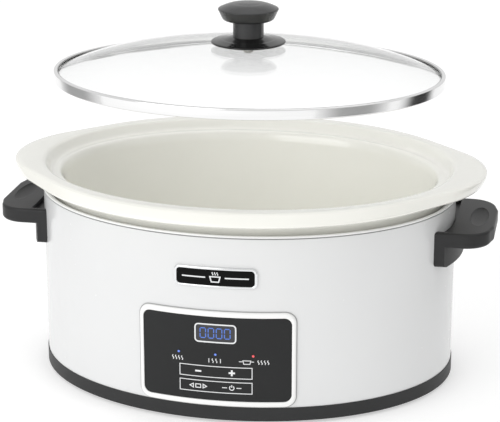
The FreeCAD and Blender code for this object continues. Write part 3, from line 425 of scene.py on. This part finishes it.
CROCK_BOTTOM = CROCK_LOW.z / MM
CROCK_TOP = CROCK_HIGH.z / MM
SEAT = CROCK_TOP - 9.0                # the ledge that the lid rests on
BOWL_FLOOR = CROCK_BOTTOM + 7.0
WALL_TOP = 161.0
NECK_TOP = 172.0
CLAY_RISE = 1.0 * MM                  # the foot is unglazed up to this height
FACING_DOWN = -0.5
CROCK_PROFILE = [
    # offset, upper ear, lower ear, height, corner
    (-54.0, 0, 0, CROCK_BOTTOM + 0.8, 0), (-42.0, 0, 0, CROCK_BOTTOM + 0.8, 1.0),
    (-41.0, 0, 0, CROCK_BOTTOM, 0.6), (-36.5, 0, 0, CROCK_BOTTOM, 1.0),
    (-30.0, 0, 0, CROCK_BOTTOM + 2.0, 4.0), (-24.0, 0, 0, CROCK_BOTTOM + 12.6, 8.0),
    (-8.0, 0, 0, WALL_TOP, 5.0), (-6.2, 0, 0, NECK_TOP, 3.0),
    (-1.0, 0, 0, CROCK_TOP - 10.9, 3.0), (9.6, 0, 1, CROCK_TOP - 11.2, 2.6),
    (12.0, 0, 1, CROCK_TOP - 8.9, 1.6), (12.0, 1, 0, CROCK_TOP - 2.0, 3.0),
    (9.6, 1, 0, CROCK_TOP, 3.0), (-2.2, 0, 0, CROCK_TOP - 0.2, 2.4),
    (-7.0, 0, 0, SEAT + 0.6, 2.6), (-10.5, 0, 0, SEAT, 1.0),
    (-15.6, 0, 0, SEAT, 3.0), (-18.2, 0, 0, SEAT - 6.0, 3.0),
    (-32.5, 0, 0, BOWL_FLOOR + 13.0, 9.0), (-38.0, 0, 0, BOWL_FLOOR + 4.4, 7.0),
    (-54.0, 0, 0, BOWL_FLOOR, 12.0), (-90.0, 0, 0, BOWL_FLOOR, 0),
]
crock = ring_piece("stoneware_crock", [crock_ring(*point) for point in softened(CROCK_PROFILE, steps=6)],
                   "crock", GLAZE, ["crock"], loop=False, crease=60.0)
crock.data.materials.append(BARE_CLAY)
for face in crock.data.polygons:
    if face.center.z < CROCK_LOW.z + CLAY_RISE and face.normal.z < FACING_DOWN:
        face.material_index = 1


# ---------------------------------------------------------------- lid

LID_A = RIM_HIGH.x
LID_B = RIM_HIGH.y
LID_FOOT = RIM_LOW.z / MM
RIM_TALL = (RIM_HIGH.z - RIM_LOW.z) / MM
LIP_IN = -3.4            # how far in the band's two lips reach
RIM_PROFILE = [
    # closed loop of (offset, height above the rim's foot, corner)
    (LIP_IN, 0.1, 0), (LIP_IN + 0.3, 0.0, 0), (0.0, 0.0, 1.3), (0.0, RIM_TALL, 1.5),
    (LIP_IN + 0.1, RIM_TALL - 0.2, 0.3), (LIP_IN, RIM_TALL - 0.9, 0.2), (-1.0, RIM_TALL - 1.0, 0.6),
    (-1.0, 1.0, 0.6), (LIP_IN, 1.0, 0),
]


def lid_rings(profile, foot):
    """The lid's oval at each (offset, height above the foot) of a profile, in millimetres."""
    return [oval_ring(offset * MM, (foot + height) * MM, LID_A, LID_B) for offset, height in profile]


ring_piece("lid_steel_band", lid_rings(softened(RIM_PROFILE, steps=5), LID_FOOT), "lid", STEEL,
           ["lid_rim"], crease=50.0)

GLASS_EDGE = GLASS_HIGH.x / LID_A
GLASS_DEEP = 4.0
GLASS_FOOT = GLASS_LOW.z / MM
CROWN_SHARE = 0.2        # inside this share of the way out the dome's crown is flat
GLASS_RISE = ((GLASS_HIGH.z - GLASS_LOW.z) / MM - GLASS_DEEP) / (GLASS_EDGE ** 3 - CROWN_SHARE ** 3)


def glass_lift(share):
    """Height of the dome above the glass's edge at a share of the way out."""
    return GLASS_RISE * (GLASS_EDGE ** 3 - share ** 3)


def glass_ring(share, height):
    return oval_ring(0.0, height * MM, LID_A * share, LID_B * share)


SCREW_BORE = 4.0         # half the length of the oval hole for the knob's screw
EDGE_ROUND = 0.5         # the glass's edge is broken by this much up and down, and by a share of the way in
EDGE_ROUND_SHARE = 0.004
shares = [GLASS_EDGE - EDGE_ROUND_SHARE, 0.975, 0.96, 0.94, 0.91, 0.88, 0.84, 0.8, 0.75, 0.7, 0.64, 0.58, 0.5,
          0.42, 0.34, 0.26, 0.18, 0.1, SCREW_BORE / (LID_A / MM)]
top_edge = GLASS_FOOT + GLASS_DEEP
rings = [glass_ring(GLASS_EDGE, GLASS_FOOT + EDGE_ROUND), glass_ring(GLASS_EDGE, top_edge - EDGE_ROUND)]
for under, order in ((0.0, shares), (GLASS_DEEP, reversed(shares))):
    rings += [glass_ring(share, top_edge - under + glass_lift(max(share, CROWN_SHARE))) for share in order]
glass = ring_piece("lid_glass_dome", rings, "lid", GLASS, ["lid_glass"], crease=50.0)
glass.visible_shadow = False

# A grey bead inside the band's top lip: a seal, its grey also painted shadow and painted reflection of the
# lip on the glass.
LIP_SEAL_SHADE_DROP = 1.5      # from the band's top down to the foot of the seal bead, whose grey is also painted shade
LIP_SEAL_SHADE_PROFILE = [
    (LIP_IN - 0.55, 0.0), (LIP_IN + 0.4, 0.0), (LIP_IN + 0.4, 0.9), (LIP_IN - 0.25, 1.15),
    (LIP_IN - 0.55, 0.9),
]
ring_piece("lid_lip_seal_and_shade", lid_rings(LIP_SEAL_SHADE_PROFILE, LID_FOOT + RIM_TALL - LIP_SEAL_SHADE_DROP), "lid", PAINTED_SHADE_GREY)

SKIRT_R = SKIRT_HIGH.x / MM
SKIRT_Z = SKIRT_LOW.z / MM
GRIP_Z = GRIP_LOW.z / MM
GRIP_TOP = GRIP_HIGH.z / MM
CAP_R = GRIP_HIGH.x / MM
STEM_R = 13.1
turned("knob_foot", [
    (0.0, SKIRT_Z, 0), (SKIRT_R - 1.6, SKIRT_Z, 1.2), (SKIRT_R, SKIRT_Z + 0.8, 0.8),
    (SKIRT_R - 0.6, SKIRT_Z + 1.9, 1.0), (SKIRT_R - 7.0, SKIRT_Z + 3.0, 4.0), (19.5, SKIRT_Z + 4.1, 3.0),
    (13.9, SKIRT_Z + 5.6, 2.0), (STEM_R, GRIP_Z, 0), (0.0, GRIP_Z, 0),
], "lid", KNOB_GLOSS, ["knob_skirt"], crease=60.0)
turned("knob_cap", [
    (0.0, GRIP_Z, 0), (STEM_R, GRIP_Z, 0), (STEM_R, GRIP_TOP - 15.9, 1.2), (14.4, GRIP_TOP - 15.3, 1.0),
    (20.2, GRIP_TOP - 14.9, 1.2), (CAP_R - 3.9, GRIP_TOP - 13.8, 0.8), (CAP_R, GRIP_TOP - 5.6, 0.35),
    (CAP_R - 0.7, GRIP_TOP - 4.9, 0.35), (CAP_R - 8.0, GRIP_TOP - 1.7, 7.0), (8.0, GRIP_TOP - 0.05, 7.0),
    (0.0, GRIP_TOP, 0),
], "lid", KNOB, ["knob_grip"], crease=35.0)


# ---------------------------------------------------------------- on the front wall

def front(x, z, off):
    """A point on the front wall, off millimetres outside the body oval, from x and z in millimetres."""
    a = BODY_A + off * MM
    b = BODY_B + off * MM
    return (x * MM, -b * math.sqrt(max(1 - (x * MM / a) ** 2, 0.0)), z * MM)


def rounded_outline(half, low, high, corner, side=22, bend=7):
    """Points round a rounded rectangle on the front wall, the same number whatever its size."""
    inside = half - corner
    corners = []
    for x, z, start in ((inside, high - corner, 0), (-inside, high - corner, 90),
                        (-inside, low + corner, 180), (inside, low + corner, 270)):
        turns = [math.radians(start + 90 * n / bend) for n in range(bend + 1)]
        corners.append([(x + corner * math.cos(angle), z + corner * math.sin(angle)) for angle in turns])
    out = []
    for bent, following in zip(corners, corners[1:] + corners[:1]):
        out += bent
        start, end = Vector(bent[-1]), Vector(following[0])
        out += [tuple(start.lerp(end, step / side)) for step in range(1, side)]
    return out


def framed(name, inner, outer, section, body, material, stands_for=()):
    """A moulded frame, its section a closed loop of (share from inner to outer edge, height off the wall)."""
    inside = rounded_outline(*inner)
    outside = rounded_outline(*outer)
    rings = []
    for share, off in section:
        rings.append([front(a[0] + (b[0] - a[0]) * share, a[1] + (b[1] - a[1]) * share, off)
                      for a, b in zip(inside, outside)])
    return ring_piece(name, rings, body, material, stands_for, crease=50.0)


PANEL_GAP = 0.1
PANEL_CORNER = 6.2
PANEL_X = FASCIA_HIGH.x / MM + PANEL_GAP
PANEL_LOW = FASCIA_LOW.z / MM - PANEL_GAP
PANEL_TOP = FASCIA_HIGH.z / MM + PANEL_GAP
BEZEL_CORNER = 9.0
BEZEL_X = BEZEL_HIGH.x / MM
BEZEL_FOOT = BEZEL_LOW.z / MM
BEZEL_TOP = BEZEL_HIGH.z / MM
framed("panel_surround", (PANEL_X, PANEL_LOW, PANEL_TOP, PANEL_CORNER),
       (BEZEL_X, BEZEL_FOOT, BEZEL_TOP, BEZEL_CORNER),
       [(0.0, 0.2), (0.0, 1.2), (0.06, 1.7), (0.2, 1.95), (0.5, 2.0), (0.8, 1.85), (0.93, 1.4), (1.0, 0.6),
        (1.0, -0.45), (0.0, -0.45)],
       "housing", BEZEL_WHITE, ["control_bezel"])
# A thin grey ring just outside the bezel: painted shadow of the bezel on the shell.
SHADOW_LINE_IN = 1.0
SHADOW_LINE_OUT = 0.6
framed("panel_shadow_line",
       (BEZEL_X - SHADOW_LINE_IN, BEZEL_FOOT + SHADOW_LINE_IN, BEZEL_TOP - SHADOW_LINE_IN, BEZEL_CORNER - SHADOW_LINE_IN),
       (BEZEL_X + SHADOW_LINE_OUT, BEZEL_FOOT - SHADOW_LINE_OUT, BEZEL_TOP + SHADOW_LINE_OUT, BEZEL_CORNER + SHADOW_LINE_OUT),
       [(0.0, -0.5), (0.0, 0.1), (0.9, 0.1), (1.0, 0.0), (1.0, -0.5)], "housing", PAINTED_SHADE_GREY)
PLATE_LAP = (0.4, 0.3)      # how far the badge's frame laps over its plate, across and up
PLATE_CORNER = 3.0
BADGE_CORNER = 4.6
framed("badge_surround",
       (PLATE_HIGH.x / MM - PLATE_LAP[0], PLATE_LOW.z / MM + PLATE_LAP[1], PLATE_HIGH.z / MM - PLATE_LAP[1],
        PLATE_CORNER),
       (BADGE_HIGH.x / MM, BADGE_LOW.z / MM, BADGE_HIGH.z / MM, BADGE_CORNER),
       [(0.0, 0.2), (0.0, 1.1), (0.15, 1.5), (0.45, 1.6), (0.8, 1.4), (0.95, 1.0), (1.0, 0.4), (1.0, -0.45),
        (0.0, -0.45)],
       "housing", CHROME, ["badge_frame"])

FACE = 1.0            # how far the fascia's skin stands off the body oval
PRINT_DEEP = 0.12
SHARPEST = 0.35       # a mitre reaches no further than a half width divided by this


def smooth_path(points, closed, most=2.0):
    """Add points so that no run is longer than `most` millimetres."""
    out = []
    spans = list(zip(points, points[1:] + points[:1])) if closed else list(zip(points, points[1:]))
    for start, end in spans:
        start, end = Vector(start), Vector(end)
        pieces = max(1, math.ceil((end - start).length / most))
        out += [start.lerp(end, n / pieces) for n in range(pieces)]
    if not closed:
        out.append(Vector(points[-1]))
    return out


def add_stroke(bm, points, width, off, deep, closed=False):
    """A printed line along points (x, z) on the front wall, with mitred corners."""
    path = smooth_path(points, closed)
    count = len(path)
    rows = []
    for n, here in enumerate(path):
        before = path[n - 1] if closed or n else None
        after = path[(n + 1) % count] if closed or n < count - 1 else None
        arriving = (here - before).normalized() if before is not None else (after - here).normalized()
        leaving = (after - here).normalized() if after is not None else arriving
        side = Vector((-(arriving + leaving).y, (arriving + leaving).x)).normalized()
        reach = width / 2 / max(side.dot(Vector((-leaving.y, leaving.x))), SHARPEST)
        left, right = here + side * reach, here - side * reach
        rows.append([bm.verts.new(front(p.x, p.y, o))
                     for p, o in ((left, off), (right, off), (right, off + deep), (left, off + deep))])
    for n in range(count if closed else count - 1):
        first, second = rows[n], rows[(n + 1) % count]
        for k in range(4):
            j = (k + 1) % 4
            bm.faces.new((first[k], first[j], second[j], second[k]))
    if not closed:
        bm.faces.new(rows[0])
        bm.faces.new(rows[-1])


def arc(centre, radius, start, end, steps=14):
    """Points (x, z) along an arc, its start and end in degrees."""
    turns = [math.radians(start + (end - start) * n / steps) for n in range(steps + 1)]
    return [(centre[0] + radius * math.cos(angle), centre[1] + radius * math.sin(angle)) for angle in turns]


def printed(name, strokes, body, material=PRINT, off=FACE, deep=PRINT_DEEP,
            stands_for=()):
    """Several printed lines as one piece: each stroke is (points, width, closed)."""
    bm = bmesh.new()
    for points, width, closed in strokes:
        add_stroke(bm, points, width, off, deep, closed)
    return placed(bm, name, body, material, stands_for, crease=30.0)


SCREEN_FOOT = SCREEN_LOW.z / MM
SCREEN_TOP = SCREEN_HIGH.z / MM
OUTLINE_OFF = 0.7     # from the screen's edge to the middle of its printed outline
OUTLINE_CORNER = 2.8
outline = rounded_outline(SCREEN_HIGH.x / MM + OUTLINE_OFF, SCREEN_FOOT - OUTLINE_OFF,
                          SCREEN_TOP + OUTLINE_OFF, OUTLINE_CORNER, side=8)
printed("display_outline", [(outline, 1.1, True)], "housing", deep=0.3, stands_for=["display_frame"])

KEY_BODIES = {"minus": "key_minus", "plus": "key_plus", "select": "key_select", "power": "key_power"}
KEY_Z = {}
for name, node in KEY_BODIES.items():
    low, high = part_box(node)
    KEY_Z[name] = (low.z + high.z) / 2 / MM
KEY_ROWS = (KEY_Z["minus"], KEY_Z["select"])
KEY_HALF = 4.5
BAR_HALF = 29.75
BAR_CLEAR = 0.3       # from the keys' edge to the middle of the line round them
bars = []
for level in KEY_ROWS:
    half, tall = BAR_HALF + BAR_CLEAR, KEY_HALF + BAR_CLEAR
    bars.append(([(half, level + tall), (-half, level + tall), (-half, level - tall), (half, level - tall)],
                 0.65, True))
printed("key_outlines", bars, "housing")

KEY_FACE = FACE + 0.25
DIVIDER_HALF = KEY_HALF - 0.1
printed("key_dividers", [([(0.0, level - DIVIDER_HALF), (0.0, level + DIVIDER_HALF)], 0.76, False)
                         for level in KEY_ROWS], "housing", KEY_SKIN, deep=0.2)

SIGN_HALF = 2.6
SIGN_LINE = 1.5
x, z = -14.4, KEY_Z["minus"]
printed("minus_mark", [([(x - SIGN_HALF, z), (x + SIGN_HALF, z)], SIGN_LINE, False)], "key_minus",
        off=KEY_FACE)
x, z = 13.6, KEY_Z["plus"]
printed("plus_mark", [([(x - SIGN_HALF, z), (x + SIGN_HALF, z)], SIGN_LINE, False),
                      ([(x, z - SIGN_HALF), (x, z + SIGN_HALF)], SIGN_LINE, False)], "key_plus", off=KEY_FACE)

MARK_LINE = 0.7
z = KEY_Z["select"]
printed("select_mark", [
    ([(-21.6, z), (-18.6, z + 1.7), (-18.6, z - 1.7)], MARK_LINE, True),
    ([(-16.6, z + 1.5), (-12.4, z + 1.5), (-12.4, z - 1.5), (-16.6, z - 1.5)], MARK_LINE, True),
    ([(-7.4, z), (-10.4, z - 1.7), (-10.4, z + 1.7)], MARK_LINE, True),
], "key_select", off=KEY_FACE)
z = KEY_Z["power"]
printed("power_mark", [
    (arc((13.5, z), 1.9, 125, 415), MARK_LINE, False), ([(13.5, z + 0.4), (13.5, z + 2.6)], MARK_LINE, False),
    ([(5.6, z), (9.6, z)], MARK_LINE, False), ([(17.4, z), (21.4, z)], MARK_LINE, False),
], "key_power", off=KEY_FACE)

LAMP_RING = 1.4       # radius of the dark ring round each lamp, and the width of its line
LAMP_RING_LINE = 0.8
masks = []
for node in ("light_pipe_high", "light_pipe_low", "light_pipe_warm"):
    low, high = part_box(node)
    lamp = ((low.x + high.x) / 2 / MM, (low.z + high.z) / 2 / MM)
    masks.append((arc(lamp, LAMP_RING, 0, 345, steps=23), LAMP_RING_LINE, True))
printed("lamp_bezels", masks, "housing", PANEL, deep=0.16)

LEGEND_Z = 55.3
LEGEND_LINE = 0.62
WAVE_TALL = 3.6
WAVE_SWAY = 0.55
WAVE_STEPS = 8


def heat_wave(x, z, tall=WAVE_TALL, sway=WAVE_SWAY):
    """A rising wave, the usual sign for heat."""
    return [(x + sway * math.sin(2 * math.pi * n / WAVE_STEPS), z - tall / 2 + tall * n / WAVE_STEPS)
            for n in range(WAVE_STEPS + 1)]


def legend_waves(*places):
    return [(heat_wave(x, LEGEND_Z), LEGEND_LINE, False) for x in places]


def upright(x):
    return ([(x, LEGEND_Z - WAVE_TALL / 2), (x, LEGEND_Z + WAVE_TALL / 2)], LEGEND_LINE, False)


def pot_handle(start, end):
    return ([(start, LEGEND_Z + 0.4), (end, LEGEND_Z + 0.4)], LEGEND_LINE, False)


pot = [(22.6, LEGEND_Z + 1.3), (23.3, LEGEND_Z - 1.7), (28.3, LEGEND_Z - 1.7), (29.0, LEGEND_Z + 1.3)]
legend = legend_waves(-35.9, -33.3, -30.7, -28.1)
legend += legend_waves(-2.2, 0.8) + [upright(-5.4), upright(4.2)]
legend += [(pot, LEGEND_LINE, True), pot_handle(19.4, 22.2), pot_handle(29.4, 31.6)]
legend += legend_waves(35.2, 37.8, 40.4, 43.0)
printed("heat_legends", legend, "housing")

DIGIT_TALL = 8.4
DIGIT_WIDE = 4.6
DIGIT_PITCH = 6.75
DIGIT_SHIFT = -0.2
SEGMENT = 0.85
SEGMENT_GAP = 0.45
screen_middle = (SCREEN_FOOT + SCREEN_TOP) / 2
strokes = []
for number in range(4):
    middle = (number - 1.5) * DIGIT_PITCH + DIGIT_SHIFT
    left, right = middle - DIGIT_WIDE / 2, middle + DIGIT_WIDE / 2
    low, high = screen_middle - DIGIT_TALL / 2, screen_middle + DIGIT_TALL / 2
    for z in (high, low):
        strokes.append(([(left + SEGMENT_GAP, z), (right - SEGMENT_GAP, z)], SEGMENT, False))
    for x in (left, right):
        strokes += [([(x, low + SEGMENT_GAP), (x, screen_middle - SEGMENT_GAP)], SEGMENT, False),
                    ([(x, screen_middle + SEGMENT_GAP), (x, high - SEGMENT_GAP)], SEGMENT, False)]
printed("display_digits", strokes, "housing", DIGIT_BLUE, off=FACE - 0.05, deep=0.06)

BADGE_Z = (PLATE_LOW.z + PLATE_HIGH.z) / 2 / MM
BADGE_LINE = 1.1
badge_pot = [(-4.2, BADGE_Z + 0.8), (-3.0, BADGE_Z - 3.6), (3.0, BADGE_Z - 3.6), (4.2, BADGE_Z + 0.8)]
badge = [([(-27.5, BADGE_Z), (-8.0, BADGE_Z)], BADGE_LINE, False),
         ([(8.0, BADGE_Z), (27.5, BADGE_Z)], BADGE_LINE, False), (badge_pot, 1.0, True)]
badge += [(heat_wave(x, BADGE_Z + 3.4, tall=2.6, sway=0.4), MARK_LINE, False) for x in (-2.0, 0.0, 2.0)]
printed("badge_ornament", badge, "housing", CHROME, off=0.7, deep=0.25)


# ---------------------------------------------------------------- stage, light and camera

def stage_plane(name, size, material):
    """A level square round the origin that belongs to the stage, not to the object."""
    bm = bmesh.new()
    half = size / 2
    corners = ((-half, -half, 0), (half, -half, 0), (half, half, 0), (-half, half, 0))
    bm.faces.new([bm.verts.new(corner) for corner in corners])
    mesh = bpy.data.meshes.new(name)
    bm.to_mesh(mesh)
    bm.free()
    mesh.materials.append(material)
    item = bpy.data.objects.new(name, mesh)
    bpy.context.scene.collection.objects.link(item)
    item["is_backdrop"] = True
    return item


FLOOR = finish_of("studio_floor", (0.60, 0.60, 0.60), (0.62, 0.62, 0.62), (0.6, 0.7), grain=60.0, mottle=3.0,
                  Specular_IOR_Level=0.1, Emission_Color=(1.0, 1.0, 1.0, 1.0), Emission_Strength=0.5)
stage_plane("studio_floor", 30.0, FLOOR)


def aim(item, place, target):
    """Put an item at a place with its -Z axis towards a target."""
    item.location = place
    item.rotation_mode = "QUATERNION"
    item.rotation_quaternion = (Vector(target) - Vector(place)).to_track_quat("-Z", "Y")


def softbox(name, place, target, size, power):
    """A white rectangular light, its size in metres and its power in watts."""
    data = bpy.data.lights.new(name, "AREA")
    data.shape = "RECTANGLE"
    data.size, data.size_y = size
    data.energy = power
    item = bpy.data.objects.new(name, data)
    bpy.context.scene.collection.objects.link(item)
    aim(item, place, target)
    item.visible_camera = False
    return item


FADE_START = 0.15     # share of a card's width, out from its middle, that keeps the full shade
CARD_WHITE = 0.92
CARD_LIFT = 0.002     # metres between the floor and a card's foot


def card_finish(name, shade):
    """Board that fades from its shade in the middle to white at both upright edges, in place of a mottle."""
    made = finish_of(name, (0.9, 0.9, 0.9), (0.92, 0.92, 0.92), (0.8, 0.9), grain=200.0, mottle=10.0)
    nodes = made.node_tree.nodes
    links = made.node_tree.links
    place = nodes.new("ShaderNodeTexCoord")
    apart = nodes.new("ShaderNodeSeparateXYZ")
    links.new(place.outputs["Object"], apart.inputs["Vector"])
    outward = nodes.new("ShaderNodeMath")
    outward.operation = "ABSOLUTE"
    links.new(apart.outputs["X"], outward.inputs[0])
    fade = nodes.new("ShaderNodeMapRange")
    fade.interpolation_type = "SMOOTHSTEP"
    fade.inputs["From Min"].default_value = FADE_START
    fade.inputs["From Max"].default_value = 0.5
    links.new(outward.outputs[0], fade.inputs["Value"])
    tone = nodes.new("ShaderNodeMix")
    tone.data_type = "RGBA"
    tone.inputs["A"].default_value = (shade, shade, shade, 1.0)
    tone.inputs["B"].default_value = (CARD_WHITE, CARD_WHITE, CARD_WHITE, 1.0)
    links.new(fade.outputs["Result"], tone.inputs["Factor"])
    links.new(tone.outputs["Result"], nodes["Principled BSDF"].inputs["Base Color"])
    return made


def standing_card(name, azimuth, distance, width, height, shade):
    """A board that stands beside the object and is seen only in its reflections and shading."""
    card = stage_plane(name, 1.0, card_finish(name + "_finish", shade))
    card.scale = (width, height, 1.0)
    heading = math.radians(azimuth)
    place = Vector((math.sin(heading) * distance, -math.cos(heading) * distance, height / 2 + CARD_LIFT))
    aim(card, place, (0.0, 0.0, place.z))
    card.visible_camera = False
    card.visible_shadow = False
    card.visible_transmission = False
    return card


standing_card("card_right", azimuth=104.0, distance=0.62, width=0.44, height=0.42, shade=0.03)
standing_card("card_front_right", azimuth=56.0, distance=0.66, width=0.5, height=0.34, shade=0.42)
standing_card("card_left", azimuth=-92.0, distance=0.62, width=0.5, height=0.36, shade=0.45)

COOKER_MIDDLE = (0.0, 0.0, 0.14)
softbox("key_light", (-1.6, -2.6, 1.5), COOKER_MIDDLE, size=(2.2, 2.2), power=29.0)
softbox("top_light", (0.2, 0.3, 2.6), COOKER_MIDDLE, size=(2.6, 2.2), power=6.0)

WORLD_LIGHT = 0.82
world = bpy.data.worlds.new("studio")
world.use_nodes = True
world.node_tree.nodes["Background"].inputs["Color"].default_value = (1.0, 1.0, 1.0, 1.0)
world.node_tree.nodes["Background"].inputs["Strength"].default_value = WORLD_LIGHT
bpy.context.scene.world = world
bpy.context.scene.view_settings.view_transform = "Standard"

CAMERA_AZIMUTH = math.radians(10.81)
CAMERA_ELEVATION = math.radians(17.66)
CAMERA_DISTANCE = 1.6549
CAMERA_LENS = 136.84
TARGET = Vector((0.00139, 0.0, 0.1386))
back = Vector((math.sin(CAMERA_AZIMUTH) * math.cos(CAMERA_ELEVATION),
               -math.cos(CAMERA_AZIMUTH) * math.cos(CAMERA_ELEVATION),
               math.sin(CAMERA_ELEVATION)))
camera_data = bpy.data.cameras.new("photo_camera")
camera_data.lens = CAMERA_LENS
camera_data.sensor_width = 36.0
camera_data.clip_end = 100.0
camera = bpy.data.objects.new("photo_camera", camera_data)
bpy.context.scene.collection.objects.link(camera)
aim(camera, TARGET + back * CAMERA_DISTANCE, TARGET)
bpy.context.scene.camera = camera

low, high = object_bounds()
{"cad": [list(CAD_LOW), list(CAD_HIGH)], "visual": [list(low), list(high)]}
